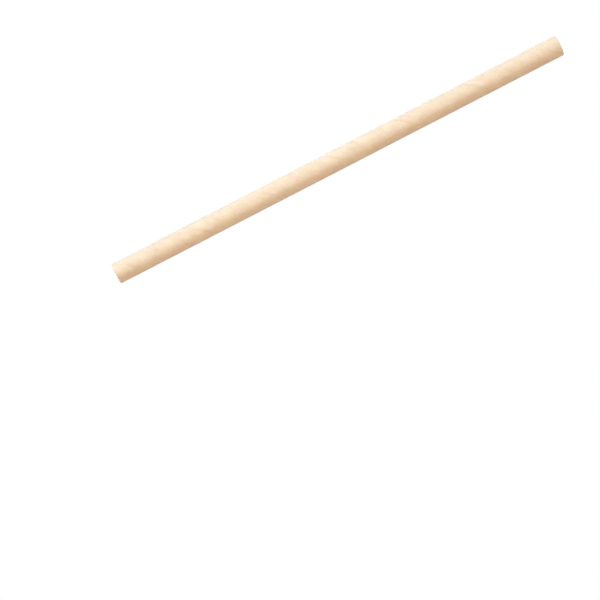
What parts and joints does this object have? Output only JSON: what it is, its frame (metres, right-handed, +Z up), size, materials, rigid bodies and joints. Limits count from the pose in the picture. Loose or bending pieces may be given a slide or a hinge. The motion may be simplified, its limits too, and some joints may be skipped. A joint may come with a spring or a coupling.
{
  "type": "paper drinking straw",
  "caption": "Straight spirally wound paper drinking straw: a thin-walled round tube, open at both square-cut ends, with a fine helical joint along its outside.",
  "frame": {"origin": "on the table under the middle of the straw, which lies on its side", "axes": "+X along the straw's axis, +Z up from the table, +Y across the straw"},
  "size_m": [0.197, 0.0084, 0.0084],
  "materials": {
    "kraft_paper": "matte"
  },
  "bodies": {
    "root": {"straw_tube": "kraft_paper"}
  },
  "joints": []
}
